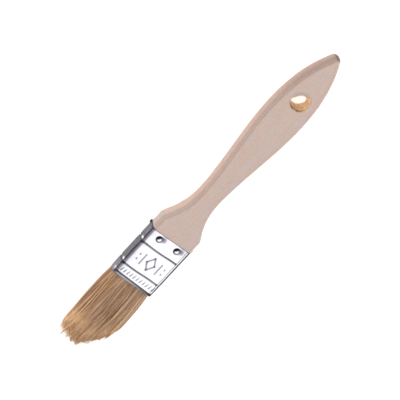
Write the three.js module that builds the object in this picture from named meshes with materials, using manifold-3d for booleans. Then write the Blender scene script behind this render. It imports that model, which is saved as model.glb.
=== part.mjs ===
// A one-inch flat pastry brush lying on its back.
// Millimetres, +X towards the bristle tips, +Y across the brush, +Z out of its front face.
// The origin is on the surface that the brush lies on, under the middle of its length and width.
// Every piece is drawn with x measured from the handle's tip and z from the middle of its thickness,
// and the group at the end moves them to that origin.

import * as THREE from 'three';
import { mergeVertices } from 'three/addons/utils/BufferGeometryUtils.js';
import Module from 'manifold-3d';

const wasm = await Module();
wasm.setup();

// Driving dimensions.
const HANDLE_LENGTH = 129; // from the tip to the ferrule
const HANDLE_THICKNESS = 10;
const EDGE_ROUNDING = 2;
const NOSE = 1.85; // where the two sides of the flat face meet, short of the sawn tip
const BELLY = { at: 40.3, halfWidth: 10.7, reachBack: 24.2, reachOn: 20.5 };
const NECK = { at: 99.5, halfWidth: 5.8, reachBack: 18.8, reachOn: 13.7 };
const SHOULDER = { at: 122, halfWidth: 12.5, reachBack: 1.2 };
const SHOULDER_END_HALF_WIDTH = 12.3;
const HANGING_HOLE = { at: 29.2, diameter: 10.8 };

const FERRULE_LENGTH = 32;
const FERRULE_WIDTH = 25.4;
const FERRULE_DEPTH = 9.3;
const FERRULE_CORNER = 2;
const SHEET = 0.35;
const GROOVES_AT = [9.4, 24.5]; // from the ferrule's top edge
const GROOVE_DEPTH = 0.5;
const GROOVE_HALF_WIDTH = 0.8;
const LIP = { length: 1.6, drawnIn: 0.6 };
const SEAM = { width: 3.4, height: 0.28, fromSide: 3.2 };
const SEAM_KNOB = { radius: 0.8, length: 1.2 };

const TONGUE_LENGTH = 17;
const NAIL = { at: 3.2, spacing: 11.6, headRadius: 1.8, headHeight: 0.28, shankRadius: 0.7, length: 4 };

const SETTING_LENGTH = 3.7;
const DIVIDER = { length: 11.7, width: 22, thickness: 1.6, keyedIn: 2.2 };

const BRISTLE_LENGTH = 45; // free length at the longest bristles
const ROOTS = { halfWidth: 11.2, halfThickness: 3.4 }; // where the ferrule grips the bristles
const FLEX = { at: 12, halfWidth: 12.6, halfThickness: 4.5 }; // the bend's axis, from the ferrule's mouth
const TUFT_FULL = { halfWidth: 13, halfThickness: 4.8, after: 10 };
const TUFT_TIP_HALF_THICKNESS = 2.4;
const TIP_CURVE = { apexY: -4, drop: 12, over: 16 }; // how far the tips fall back, over that many mm across

const GAP = 0.3; // between pieces that touch on the real brush
const RESTING_GAP = 0.05;

// Places worked out from the driving dimensions.
const FERRULE_TOP = HANDLE_LENGTH;
const FERRULE_END = FERRULE_TOP + FERRULE_LENGTH;
const TONGUE_END = FERRULE_TOP + TONGUE_LENGTH;
const SETTING_END = TONGUE_END + GAP + SETTING_LENGTH;
const OVERALL_LENGTH = FERRULE_END + BRISTLE_LENGTH;
const DIVIDER_START = SETTING_END - DIVIDER.keyedIn;
const FLEX_AXIS = FERRULE_END + FLEX.at;
const TUFT_START = FLEX_AXIS - FLEX.halfThickness;

// Builds a solid from a closed three.js geometry.
function solidOf(geometry) {
  const bare = geometry.clone();
  bare.deleteAttribute('normal');
  bare.deleteAttribute('uv');
  const merged = mergeVertices(bare, 1e-4);
  const vertProperties = new Float32Array(merged.attributes.position.array);
  const triVerts = new Uint32Array(merged.index.array);
  return new wasm.Manifold(new wasm.Mesh({ numProp: 3, vertProperties, triVerts }));
}

// Turns a solid back into a geometry that a mesh can show.
function geometryOf(solid) {
  const { vertProperties, triVerts } = solid.getMesh();
  const indexed = new THREE.BufferGeometry();
  indexed.setAttribute('position', new THREE.BufferAttribute(vertProperties, 3));
  indexed.setIndex(new THREE.BufferAttribute(triVerts, 1));
  const geometry = indexed.toNonIndexed();
  geometry.computeVertexNormals();
  return geometry;
}

const AXIS_X = new THREE.Vector3(1, 0, 0);
const AXIS_Y = new THREE.Vector3(0, 1, 0);
const AXIS_Z = new THREE.Vector3(0, 0, 1);
const SECTION_TO_BAR = new THREE.Matrix4().makeBasis(AXIS_Y, AXIS_Z, AXIS_X);
const SIDE_VIEW_TO_SLAB = new THREE.Matrix4().makeBasis(AXIS_X, AXIS_Z, AXIS_Y.clone().negate());

// Quarter arcs and straights of a rounded rectangle, anticlockwise.
function roundedRectangle(width, height, radius) {
  const x = width / 2 - radius;
  const y = height / 2 - radius;
  const shape = new THREE.Shape();
  shape.absarc(x, y, radius, 0, Math.PI / 2);
  shape.absarc(-x, y, radius, Math.PI / 2, Math.PI);
  shape.absarc(-x, -y, radius, Math.PI, 1.5 * Math.PI);
  shape.absarc(x, -y, radius, 1.5 * Math.PI, 2 * Math.PI);
  shape.closePath();
  return shape;
}

const PLAIN_ENDS = { bevelEnabled: false };

// A straight bar along X between two places, with a rounded rectangular section.
function bar(from, to, width, thickness, radius) {
  const section = roundedRectangle(width, thickness, radius);
  const geometry = new THREE.ExtrudeGeometry(section, { depth: to - from, ...PLAIN_ENDS, curveSegments: 4 });
  return solidOf(geometry.applyMatrix4(SECTION_TO_BAR).translate(from, 0, 0));
}

// A round rod along Z, centred on the given height.
function uprightRod(x, y, z, radius, length, sides) {
  const geometry = new THREE.CylinderGeometry(radius, radius, length, sides);
  return solidOf(geometry.rotateX(Math.PI / 2).translate(x, y, z));
}

// The edge of the handle's flat face, which lies inside the widest outline by the edge rounding.
function handleFaceShape() {
  const belly = BELLY.halfWidth - EDGE_ROUNDING;
  const neck = NECK.halfWidth - EDGE_ROUNDING;
  const shoulder = SHOULDER.halfWidth - EDGE_ROUNDING;
  const beforeShoulder = SHOULDER.at - SHOULDER.reachBack;
  const overrun = 2 * EDGE_ROUNDING;
  const half = new THREE.Path();
  half.moveTo(NOSE, 0.1);
  half.bezierCurveTo(NOSE + 1, 0.6, BELLY.at - BELLY.reachBack, belly, BELLY.at, belly);
  half.bezierCurveTo(BELLY.at + BELLY.reachOn, belly, NECK.at - NECK.reachBack, neck, NECK.at, neck);
  half.bezierCurveTo(NECK.at + NECK.reachOn, neck, beforeShoulder, shoulder, SHOULDER.at, shoulder);
  half.lineTo(HANDLE_LENGTH + overrun, SHOULDER_END_HALF_WIDTH - EDGE_ROUNDING);
  const upper = half.getPoints(14);
  const lower = upper.map((point) => new THREE.Vector2(point.x, -point.y)).reverse();
  return new THREE.Shape([...upper, ...lower]);
}

// The part of the handle that fills the ferrule, with a waist where the first groove presses in.
function tongue() {
  const width = FERRULE_WIDTH - 2 * (SHEET + GAP);
  const depth = FERRULE_DEPTH - 2 * (SHEET + GAP);
  const waist = FERRULE_TOP + GROOVES_AT[0];
  const waistHalf = GROOVE_HALF_WIDTH + GAP;
  const pressed = 2 * GROOVE_DEPTH;
  const innerCorner = FERRULE_CORNER - GROOVE_DEPTH;
  const core = bar(FERRULE_TOP - 1, TONGUE_END, width - pressed, depth - pressed, innerCorner);
  const above = bar(FERRULE_TOP - 1, waist - waistHalf, width, depth, FERRULE_CORNER);
  const below = bar(waist + waistHalf, TONGUE_END, width, depth, FERRULE_CORNER);
  return core.add(above).add(below);
}

// The four places where a nail goes in: its side across the brush and the face it enters.
function nailPlaces() {
  const x = FERRULE_TOP + NAIL.at;
  const faces = [['front', 1], ['back', -1]];
  const sides = [['left', -NAIL.spacing / 2], ['right', NAIL.spacing / 2]];
  return faces.flatMap(([face, facing]) =>
    sides.map(([side, y]) => ({ name: `nail_${face}_${side}`, x, y, facing })));
}

// Clearance rods for the nail shanks, all the way through from front to back.
function nailBores() {
  const bores = nailPlaces().filter((place) => place.facing > 0)
    .map((place) => uprightRod(place.x, place.y, 0, NAIL.shankRadius + GAP, 2 * HANDLE_THICKNESS, 12));
  return bores[0].add(bores[1]);
}

function handleGeometry() {
  const rounding = { bevelThickness: EDGE_ROUNDING, bevelSize: EDGE_ROUNDING, bevelSegments: 4 };
  const depth = HANDLE_THICKNESS - 2 * EDGE_ROUNDING;
  const blank = new THREE.ExtrudeGeometry(handleFaceShape(), { depth, ...rounding });
  const sawnLength = new THREE.BoxGeometry(HANDLE_LENGTH, 3 * FERRULE_WIDTH, 2 * HANDLE_THICKNESS);
  const body = solidOf(blank.translate(0, 0, -depth / 2))
    .intersect(solidOf(sawnLength.translate(HANDLE_LENGTH / 2, 0, 0)));
  const hole = uprightRod(HANGING_HOLE.at, 0, 0, HANGING_HOLE.diameter / 2, 2 * HANDLE_THICKNESS, 36);
  return geometryOf(body.add(tongue()).subtract(hole).subtract(nailBores()));
}

// How far the sheet's outer face stands in from the plain band, along the ferrule: [distance, inset].
function ferruleProfile() {
  const floor = GROOVE_HALF_WIDTH / 3;
  const grooves = GROOVES_AT.flatMap((at) => [
    [at - GROOVE_HALF_WIDTH, 0],
    [at - floor, GROOVE_DEPTH],
    [at + floor, GROOVE_DEPTH],
    [at + GROOVE_HALF_WIDTH, 0],
  ]);
  const bend = FERRULE_LENGTH - LIP.length;
  return [[0, 0], ...grooves, [bend - 0.6, 0], [bend, LIP.drawnIn - 0.1], [FERRULE_LENGTH, LIP.drawnIn]];
}

// A closed ring of sheet: a lathed band whose circle is then laid round the rounded rectangle.
function ferruleBand() {
  const outer = ferruleProfile().map(([along, inset]) => new THREE.Vector2(-inset, along));
  const inner = outer.map((point) => new THREE.Vector2(point.x - SHEET, point.y)).reverse();
  const path = roundedRectangle(FERRULE_WIDTH, FERRULE_DEPTH, FERRULE_CORNER).getPoints(5);
  const around = path.slice(0, -1).filter((point, i) => i === 0 || point.distanceTo(path[i - 1]) > 1e-6);
  const latheRadius = 10;
  const loop = [...outer, ...inner, outer[0]];
  const profile = loop.map((point) => new THREE.Vector2(latheRadius + point.x, point.y));
  const band = new THREE.LatheGeometry(profile, around.length);
  const position = band.attributes.position;
  const arcX = FERRULE_WIDTH / 2 - FERRULE_CORNER;
  const arcY = FERRULE_DEPTH / 2 - FERRULE_CORNER;
  for (let i = 0; i < position.count; i += 1) {
    const offset = Math.hypot(position.getX(i), position.getZ(i)) - latheRadius;
    const turn = Math.atan2(position.getX(i), position.getZ(i)) / (2 * Math.PI);
    const place = around[Math.round(turn * around.length + around.length) % around.length];
    const centre = new THREE.Vector2(Math.sign(place.x) * arcX, Math.sign(place.y) * arcY);
    const outward = place.clone().sub(centre).normalize();
    const point = place.clone().addScaledVector(outward, offset);
    position.setXYZ(i, FERRULE_TOP + position.getY(i), point.x, point.y);
  }
  return band;
}

// The lapped edge of the strip on the back, and the rolled end of the seam at the top corner.
function ferruleSeam() {
  const y = -(FERRULE_WIDTH / 2 - SEAM.fromSide);
  const bite = 0.15;
  const lap = new THREE.BoxGeometry(GROOVES_AT[0] - 2 * GROOVE_HALF_WIDTH, SEAM.width, SEAM.height + bite);
  const z = -(FERRULE_DEPTH + SEAM.height - bite) / 2;
  const knob = new THREE.CapsuleGeometry(SEAM_KNOB.radius, SEAM_KNOB.length, 4, 10).rotateZ(Math.PI / 2);
  const knobX = FERRULE_TOP + SEAM_KNOB.radius + SEAM_KNOB.length / 2;
  const knobY = -(FERRULE_WIDTH / 2 - SEAM_KNOB.radius + 0.3);
  const width = FERRULE_WIDTH - SHEET;
  const depth = FERRULE_DEPTH - SHEET;
  const inside = bar(FERRULE_TOP - 1, FERRULE_END, width, depth, FERRULE_CORNER);
  return solidOf(lap.translate(FERRULE_TOP + GROOVES_AT[0] / 2 - 0.2, y, z))
    .add(solidOf(knob.translate(knobX, knobY, -FERRULE_DEPTH / 2 + FERRULE_CORNER)))
    .subtract(inside);
}

function ferruleGeometry() {
  return geometryOf(solidOf(ferruleBand()).add(ferruleSeam()).subtract(nailBores()));
}

// A domed head on a plain shank, with its head's underside at y = 0 and its point down the -Y axis.
function nailGeometry() {
  const dome = [];
  const steps = 5;
  for (let i = 0; i <= steps; i += 1) {
    const angle = (i / steps) * (Math.PI / 2);
    dome.push(new THREE.Vector2(NAIL.headRadius * Math.cos(angle), NAIL.headHeight * Math.sin(angle)));
  }
  dome[steps].x = 0;
  const shank = [[0, -NAIL.length], [NAIL.shankRadius, 0.8 - NAIL.length], [NAIL.shankRadius, 0]];
  const profile = [...shank.map(([x, y]) => new THREE.Vector2(x, y)), ...dome];
  return new THREE.LatheGeometry(profile, 16);
}

function settingGeometry() {
  const start = TONGUE_END + GAP;
  const width = FERRULE_WIDTH - 2 * (SHEET + GAP);
  const depth = FERRULE_DEPTH - 2 * (SHEET + GAP);
  const pocketWidth = DIVIDER.width + 2 * GAP;
  const pocketDepth = DIVIDER.thickness + 2 * GAP;
  const pocket = new THREE.BoxGeometry(2 * (DIVIDER.keyedIn + GAP), pocketWidth, pocketDepth);
  return geometryOf(bar(start, SETTING_END, width, depth, FERRULE_CORNER)
    .subtract(solidOf(pocket.translate(SETTING_END, 0, 0))));
}

function dividerGeometry() {
  const end = DIVIDER_START + DIVIDER.length;
  return geometryOf(bar(DIVIDER_START, end, DIVIDER.width, DIVIDER.thickness, DIVIDER.thickness / 4));
}

// What two slabs have in common: one with an outline seen from the front, one seen from the side.
function solidFromViews(frontView, sideView) {
  const height = 2 * HANDLE_THICKNESS;
  const breadth = 2 * FERRULE_WIDTH;
  const fromFront = new THREE.ExtrudeGeometry(frontView, { depth: height, ...PLAIN_ENDS, curveSegments: 8 });
  const fromSide = new THREE.ExtrudeGeometry(sideView, { depth: breadth, ...PLAIN_ENDS, curveSegments: 8 });
  return solidOf(fromFront.translate(0, 0, -height / 2))
    .intersect(solidOf(fromSide.applyMatrix4(SIDE_VIEW_TO_SLAB).translate(0, breadth / 2, 0)));
}

// The fixed end of one row of bristles: from the resin, past the divider and a short way out of the mouth.
function rowGeometry(facing) {
  const start = SETTING_END + GAP;
  const end = TUFT_START - GAP;
  const dividerEnd = DIVIDER_START + DIVIDER.length + GAP;
  const plan = new THREE.Shape();
  plan.moveTo(start, -ROOTS.halfWidth);
  plan.lineTo(FERRULE_END, -ROOTS.halfWidth);
  plan.lineTo(end, -FLEX.halfWidth);
  plan.lineTo(end, FLEX.halfWidth);
  plan.lineTo(FERRULE_END, ROOTS.halfWidth);
  plan.lineTo(start, ROOTS.halfWidth);
  plan.closePath();
  const beside = facing * (DIVIDER.thickness / 2 + GAP);
  const middle = (facing * GAP) / 2;
  const side = new THREE.Shape();
  side.moveTo(start, beside);
  side.lineTo(dividerEnd, beside);
  side.lineTo(dividerEnd, middle);
  side.lineTo(end, middle);
  side.lineTo(end, facing * FLEX.halfThickness);
  side.lineTo(FERRULE_END, facing * ROOTS.halfThickness);
  side.lineTo(start, facing * ROOTS.halfThickness);
  side.closePath();
  return geometryOf(solidFromViews(plan, side));
}

// Where the bristles end at a given place across the brush: a parabola with its apex off centre.
function tipAt(y) {
  return OVERALL_LENGTH - TIP_CURVE.drop * ((y - TIP_CURVE.apexY) / TIP_CURVE.over) ** 2;
}

// The tuft seen from the front.
function tuftPlan() {
  const { halfWidth } = TUFT_FULL;
  const full = FLEX_AXIS + TUFT_FULL.after;
  const slope = (2 * TIP_CURVE.drop * (halfWidth + TIP_CURVE.apexY)) / TIP_CURVE.over ** 2;
  const plan = new THREE.Shape();
  plan.moveTo(TUFT_START, -FLEX.halfWidth);
  plan.lineTo(full, -halfWidth);
  plan.lineTo(tipAt(-halfWidth), -halfWidth);
  plan.quadraticCurveTo(tipAt(-halfWidth) + slope * halfWidth, 0, tipAt(halfWidth), halfWidth);
  plan.lineTo(full, halfWidth);
  plan.lineTo(TUFT_START, FLEX.halfWidth);
  plan.closePath();
  return plan;
}

// The tuft seen from the side, with a round inner end centred on the axis that it bends about.
function tuftSide() {
  const root = FLEX.halfThickness;
  const full = TUFT_FULL.halfThickness;
  const fullAt = FLEX_AXIS + TUFT_FULL.after;
  const beforeTip = OVERALL_LENGTH - TUFT_FULL.after;
  const side = new THREE.Shape();
  side.absarc(FLEX_AXIS, 0, root, Math.PI / 2, 1.5 * Math.PI);
  side.lineTo(fullAt, -full);
  side.quadraticCurveTo(beforeTip, -full, OVERALL_LENGTH, -TUFT_TIP_HALF_THICKNESS);
  side.lineTo(OVERALL_LENGTH, TUFT_TIP_HALF_THICKNESS);
  side.quadraticCurveTo(beforeTip, full, fullAt, full);
  side.lineTo(FLEX_AXIS, root);
  return side;
}

const BARE_WOOD = new THREE.MeshStandardMaterial({ color: 0xcbb5aa, roughness: 0.75, metalness: 0 });
const TINPLATE = new THREE.MeshStandardMaterial({ color: 0xdadae0, roughness: 0.22, metalness: 1 });
const NAIL_STEEL = new THREE.MeshStandardMaterial({ color: 0xd0d0d6, roughness: 0.2, metalness: 1 });
const SETTING_RESIN = new THREE.MeshStandardMaterial({ color: 0x8a6a3a, roughness: 0.4, metalness: 0 });
const PLUG_WOOD = new THREE.MeshStandardMaterial({ color: 0xc2a27c, roughness: 0.8, metalness: 0 });
const BRISTLE = new THREE.MeshStandardMaterial({ color: 0xa8855c, roughness: 0.6, metalness: 0 });

const brush = new THREE.Group();
brush.position.set(-OVERALL_LENGTH / 2, 0, HANDLE_THICKNESS / 2);

function addPiece(name, geometry, material) {
  const mesh = new THREE.Mesh(geometry, material);
  mesh.name = name;
  brush.add(mesh);
  return mesh;
}

addPiece('handle', handleGeometry(), BARE_WOOD);
addPiece('ferrule', ferruleGeometry(), TINPLATE);
for (const { name, x, y, facing } of nailPlaces()) {
  const nail = addPiece(name, nailGeometry(), NAIL_STEEL);
  nail.position.set(x, y, facing * (FERRULE_DEPTH / 2 + RESTING_GAP));
  nail.rotation.x = (facing * Math.PI) / 2;
}
addPiece('setting', settingGeometry(), SETTING_RESIN);
addPiece('divider', dividerGeometry(), PLUG_WOOD);
addPiece('bristle_row_front', rowGeometry(1), BRISTLE);
addPiece('bristle_row_back', rowGeometry(-1), BRISTLE);
addPiece('bristle_tuft', geometryOf(solidFromViews(tuftPlan(), tuftSide())), BRISTLE);

const part = new THREE.Group();
part.add(brush);

export default part;
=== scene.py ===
# A flat pastry brush lying on its back: a bare wood handle, a pressed ferrule with four nails, and
# two rows of bristle. Metres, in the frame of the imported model. A name that ends in _MM is in
# millimetres, and so are along and height, from a piece's own end and from its middle plane.
import math

import bmesh
import bpy
import numpy as np
from mathutils import Matrix, Vector, noise


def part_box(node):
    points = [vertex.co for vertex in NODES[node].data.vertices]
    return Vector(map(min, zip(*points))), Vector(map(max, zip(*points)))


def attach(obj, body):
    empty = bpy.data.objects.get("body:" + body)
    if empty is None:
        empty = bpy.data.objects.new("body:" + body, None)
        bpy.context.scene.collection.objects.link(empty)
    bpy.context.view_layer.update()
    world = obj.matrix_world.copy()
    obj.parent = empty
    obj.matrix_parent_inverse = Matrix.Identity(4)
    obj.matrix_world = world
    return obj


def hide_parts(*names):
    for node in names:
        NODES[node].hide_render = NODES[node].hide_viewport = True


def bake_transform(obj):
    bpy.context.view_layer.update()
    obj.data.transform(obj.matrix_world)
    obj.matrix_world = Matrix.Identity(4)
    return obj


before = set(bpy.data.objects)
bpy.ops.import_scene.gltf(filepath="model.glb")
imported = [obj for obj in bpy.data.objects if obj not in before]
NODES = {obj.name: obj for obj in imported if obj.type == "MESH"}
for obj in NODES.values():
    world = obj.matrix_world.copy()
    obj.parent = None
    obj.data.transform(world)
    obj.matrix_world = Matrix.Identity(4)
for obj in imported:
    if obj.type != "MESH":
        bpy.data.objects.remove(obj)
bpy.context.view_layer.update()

SCENE = bpy.context.scene
MM = 0.001

# Where the pieces are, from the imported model.
HANDLE_LOW, HANDLE_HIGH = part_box("handle")
FERRULE_LOW, FERRULE_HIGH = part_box("ferrule")
TUFT_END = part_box("bristle_tuft")[1].x
SETTING_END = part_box("setting")[1].x
MID_Z = (HANDLE_LOW.z + HANDLE_HIGH.z) / 2
TIP_X = HANDLE_LOW.x
MOUTH_X = FERRULE_HIGH.x

# The colour sockets of the node that mixes two colours: the factor, the two colours, the result.
COLOUR_MIX_INPUTS = (0, 6, 7)
COLOUR_MIX_OUTPUT = 2

# Most of a noise texture's values are between these.
NOISE_LOW, NOISE_HIGH = 0.3, 0.7

WHITE = (1.0, 1.0, 1.0, 1.0)


# ---------------- helpers

def srgb(red, green, blue):
    """A colour given as 0-255 display values, as linear RGBA."""
    def linear(value):
        share = value / 255
        return share / 12.92 if share <= 0.04045 else ((share + 0.055) / 1.055) ** 2.4
    return (linear(red), linear(green), linear(blue), 1.0)


def ease(low, high, value):
    """0 up to low, 1 from high on, and smooth between them; low may also be the larger one."""
    share = np.clip((value - low) / (high - low), 0.0, 1.0)
    return share * share * (3 - 2 * share)


def between(low, high, share):
    return low + (high - low) * share


def link(name, mesh):
    piece = bpy.data.objects.new(name, mesh)
    SCENE.collection.objects.link(piece)
    return piece


def mesh_from(name, vertices, faces):
    mesh = bpy.data.meshes.new(name)
    mesh.from_pydata(np.asarray(vertices).tolist(), [], faces)
    mesh.update()
    return mesh


def capped_tube_faces(rings, sides, flip=False):
    """Quads between neighbouring rings of points, and a cap at each end."""
    faces = []
    for i in range(rings - 1):
        here, after = i * sides, (i + 1) * sides
        for j in range(sides):
            k = (j + 1) % sides
            faces.append((here + j, here + k, after + k, after + j))
    faces.append(tuple(range(sides))[::-1])
    faces.append(tuple(range((rings - 1) * sides, rings * sides)))
    return [face[::-1] for face in faces] if flip else faces


def positions(mesh):
    flat = np.zeros(len(mesh.vertices) * 3)
    mesh.vertices.foreach_get("co", flat)
    return flat.reshape(-1, 3)


def normals(mesh):
    flat = np.zeros(len(mesh.vertices) * 3)
    mesh.vertices.foreach_get("normal", flat)
    return flat.reshape(-1, 3)


def move_to(mesh, points):
    mesh.vertices.foreach_set("co", np.asarray(points, dtype=np.float32).ravel())
    mesh.update()


def shade_smooth(mesh):
    mesh.polygons.foreach_set("use_smooth", np.ones(len(mesh.polygons), dtype=bool))
    mesh.update()


def store(mesh, name, values):
    attribute = mesh.attributes.new(name, "FLOAT", "POINT")
    attribute.data.foreach_set("value", np.asarray(values, dtype=np.float32))


def store_colour(mesh, name, colours):
    attribute = mesh.attributes.new(name, "FLOAT_COLOR", "POINT")
    attribute.data.foreach_set("color", np.asarray(colours, dtype=np.float32).ravel())


def noise_at(points, scale, offset=0.0):
    """Smooth noise between about -1 and 1 at each point; scale is its detail per metre on each axis."""
    stretched = points * np.asarray(scale) + offset
    return np.array([noise.noise(Vector(point)) for point in stretched])


def with_modifiers_applied(piece):
    graph = bpy.context.evaluated_depsgraph_get()
    result = bpy.data.meshes.new_from_object(piece.evaluated_get(graph))
    piece.modifiers.clear()
    piece.data = result
    return result


# ---------------- materials

def set_stops(node, stops):
    """Gives a colour ramp its stops, as (place, colour) in rising order."""
    elements = node.color_ramp.elements
    while len(elements) < len(stops):
        elements.new(0.5)
    for element, (place, colour) in zip(elements, stops):
        element.position = place
        element.color = colour


class Nodes:
    """A material's nodes, added one call each."""

    def __init__(self, name):
        self.material = bpy.data.materials.new(name)
        self.material.use_nodes = True
        self.tree = self.material.node_tree
        self.tree.nodes.clear()
        self.shader = self.add("ShaderNodeBsdfPrincipled")
        output = self.add("ShaderNodeOutputMaterial")
        self.join(self.shader.outputs["BSDF"], output.inputs["Surface"])

    def add(self, kind, **settings):
        node = self.tree.nodes.new(kind)
        for key, value in settings.items():
            setattr(node, key, value)
        return node

    def join(self, output, socket):
        self.tree.links.new(output, socket)

    def feed(self, socket, value):
        """Sets a socket to a plain value, or joins another node's output to it."""
        if isinstance(value, (float, int, tuple)):
            socket.default_value = value
        else:
            self.join(value, socket)

    def fill(self, node, **values):
        for name, value in values.items():
            self.feed(node.inputs[name], value)

    def surface(self, name, value):
        self.feed(self.shader.inputs[name], value)

    def attribute(self, name, kind="Fac"):
        return self.add("ShaderNodeAttribute", attribute_name=name).outputs[kind]

    def object_position(self, scale):
        mapping = self.add("ShaderNodeMapping")
        self.fill(mapping, Scale=scale, Vector=self.add("ShaderNodeTexCoord").outputs["Object"])
        return mapping.outputs["Vector"]

    def noise(self, scale, detail=3.0, roughness=0.5, distortion=0.0):
        """Noise whose detail per metre is given on each axis."""
        texture = self.add("ShaderNodeTexNoise")
        self.fill(texture, Scale=1.0, Detail=detail, Roughness=roughness, Distortion=distortion,
                  Vector=self.object_position(scale))
        return texture.outputs["Fac"]

    def ramp(self, value, *stops):
        """A colour for each stop (place, colour)."""
        node = self.add("ShaderNodeValToRGB")
        set_stops(node, stops)
        self.fill(node, Fac=value)
        return node.outputs["Color"]

    def remap(self, value, low, high, to_low, to_high):
        node = self.add("ShaderNodeMapRange")
        self.fill(node, Value=value, **{
            "From Min": low, "From Max": high, "To Min": to_low, "To Max": to_high})
        return node.outputs["Result"]

    def spread(self, noise, to_low, to_high):
        return self.remap(noise, NOISE_LOW, NOISE_HIGH, to_low, to_high)

    def mix(self, factor, first, second, how="MIX"):
        node = self.add("ShaderNodeMix", data_type="RGBA", blend_type=how)
        for index, value in zip(COLOUR_MIX_INPUTS, (factor, first, second)):
            self.feed(node.inputs[index], value)
        return node.outputs[COLOUR_MIX_OUTPUT]

    def maths(self, how, first, second):
        node = self.add("ShaderNodeMath", operation=how)
        for socket, value in zip(node.inputs, (first, second)):
            self.feed(socket, value)
        return node.outputs[0]

    def multiply(self, colour, by):
        return self.mix(1.0, colour, by, "MULTIPLY")

    def bump(self, height, distance, strength=1.0):
        node = self.add("ShaderNodeBump")
        self.fill(node, Strength=strength, Distance=distance, Height=height)
        self.surface("Normal", node.outputs["Normal"])


def bare_wood():
    """Unfinished pale wood: pink and yellow mottling, long faint grain, flecks and short pores."""
    nodes = Nodes("bare_wood")
    mottle = nodes.noise((90, 190, 190), detail=3, roughness=0.6)
    base = nodes.ramp(mottle, (0.34, srgb(196, 176, 173)), (0.45, srgb(193, 178, 167)),
                      (0.54, srgb(198, 174, 164)), (0.66, srgb(195, 180, 168)))
    grain = nodes.noise((45, 2600, 1500), detail=4, roughness=0.6, distortion=0.4)
    streaks = nodes.ramp(grain, (0.3, srgb(246, 242, 240)), (0.62, WHITE))
    base = nodes.multiply(base, streaks)
    flecks = nodes.noise((900, 1500, 1500), detail=4, roughness=0.7)
    speckle = nodes.ramp(flecks, (0.32, srgb(236, 232, 229)), (0.5, srgb(248, 247, 247)), (0.68, WHITE))
    base = nodes.multiply(base, speckle)
    pores = nodes.noise((420, 5200, 5200), detail=1)
    pore_mask = nodes.remap(pores, 0.64, 0.74, 0.0, 0.5)
    base = nodes.mix(pore_mask, base, srgb(168, 140, 126))
    # Painted light and shade on the handle's sides and edges.
    base = nodes.multiply(base, nodes.attribute("painted_light_tint", "Color"))
    bore_fibre = nodes.noise((1500, 1500, 900), detail=4, roughness=0.7)
    bore = nodes.ramp(bore_fibre, (0.3, srgb(204, 160, 116)), (0.5, srgb(232, 194, 150)),
                      (0.68, srgb(246, 218, 182)))
    # Painted shade on the bore's wall.
    bore = nodes.multiply(bore, nodes.attribute("bore_shade", "Color"))
    base = nodes.mix(nodes.attribute("bore"), base, bore)
    base = nodes.mix(nodes.attribute("end_grain"), base, srgb(112, 88, 78))
    nodes.surface("Base Color", base)
    nodes.surface("Roughness", nodes.spread(grain, 0.62, 0.78))
    nodes.surface("Specular IOR Level", 0.3)
    height = nodes.maths("SUBTRACT", grain, nodes.maths("MULTIPLY", pore_mask, 1.2))
    nodes.bump(height, 0.06 * MM, 0.6)
    return nodes.material


def tinned_steel():
    """Bright pressed tinplate: fine drawn scratches and smudges, soft and dark painted shade by place,
    and dulled by place, where the dulled colour is a painted dark reflection.
    """
    nodes = Nodes("tinned_steel")
    cloud = nodes.noise((120, 160, 160), detail=2)
    bright = nodes.ramp(cloud, (0.3, srgb(236, 235, 243)), (0.7, srgb(248, 247, 251)))
    dull_and_shade = nodes.ramp(nodes.noise((500, 500, 900), detail=4, roughness=0.65),
                      (0.3, srgb(84, 80, 86)), (0.7, srgb(132, 128, 134)))
    # Where dulled, the colour is a painted dark reflection.
    metal = nodes.mix(nodes.attribute("dull_and_shade"), bright, dull_and_shade)
    # A soft violet painted shade.
    metal = nodes.mix(nodes.attribute("soft_shade"), metal, srgb(150, 146, 160))
    # Dark painted shade in the pressed marks, along corners and round the nails; it also darkens the
    # seam's knob.
    metal = nodes.mix(nodes.attribute("shade_and_grime"), metal, srgb(58, 50, 58))
    nodes.surface("Base Color", metal)
    nodes.surface("Metallic", 1.0)
    scratches = nodes.noise((300, 9000, 9000), detail=3, roughness=0.6)
    smudges = nodes.noise((260, 320, 320), detail=3)
    scratched = nodes.spread(scratches, 0.0, 0.1)
    rough = nodes.maths("ADD", scratched, nodes.spread(smudges, 0.16, 0.28))
    dulled = nodes.maths("MULTIPLY", nodes.attribute("dull_and_shade"), 0.18)
    nodes.surface("Roughness", nodes.maths("ADD", rough, dulled))
    nodes.bump(scratches, 0.01 * MM, 0.5)
    return nodes.material


def nail_steel():
    """Polished steel with small scuffs, and painted shade by place."""
    nodes = Nodes("nail_steel")
    scuffs = nodes.noise((2200, 2200, 2200), detail=4, roughness=0.65)
    metal = nodes.ramp(scuffs, (0.3, srgb(196, 196, 204)), (0.6, srgb(236, 236, 240)))
    # Painted shade on each head: a ring towards its rim and a dark crescent on one side.
    metal = nodes.mix(nodes.attribute("shade_and_grime"), metal, srgb(44, 40, 46))
    nodes.surface("Base Color", metal)
    nodes.surface("Metallic", 1.0)
    nodes.surface("Roughness", nodes.spread(scuffs, 0.1, 0.24))
    nodes.bump(scuffs, 0.02 * MM, 0.4)
    return nodes.material


def hog_bristle():
    """Natural bristle: every hair has its own colours, with faint flecks over them."""
    nodes = Nodes("hog_bristle")
    hair = nodes.attribute("hair", "Color")
    flecks = nodes.noise((900, 900, 900), detail=2)
    speckle = nodes.ramp(flecks, (0.25, srgb(226, 222, 218)), (0.75, WHITE))
    hair = nodes.multiply(hair, speckle)
    nodes.surface("Base Color", hair)
    nodes.surface("Roughness", nodes.spread(flecks, 0.42, 0.6))
    nodes.surface("Specular IOR Level", 0.35)
    return nodes.material


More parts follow.
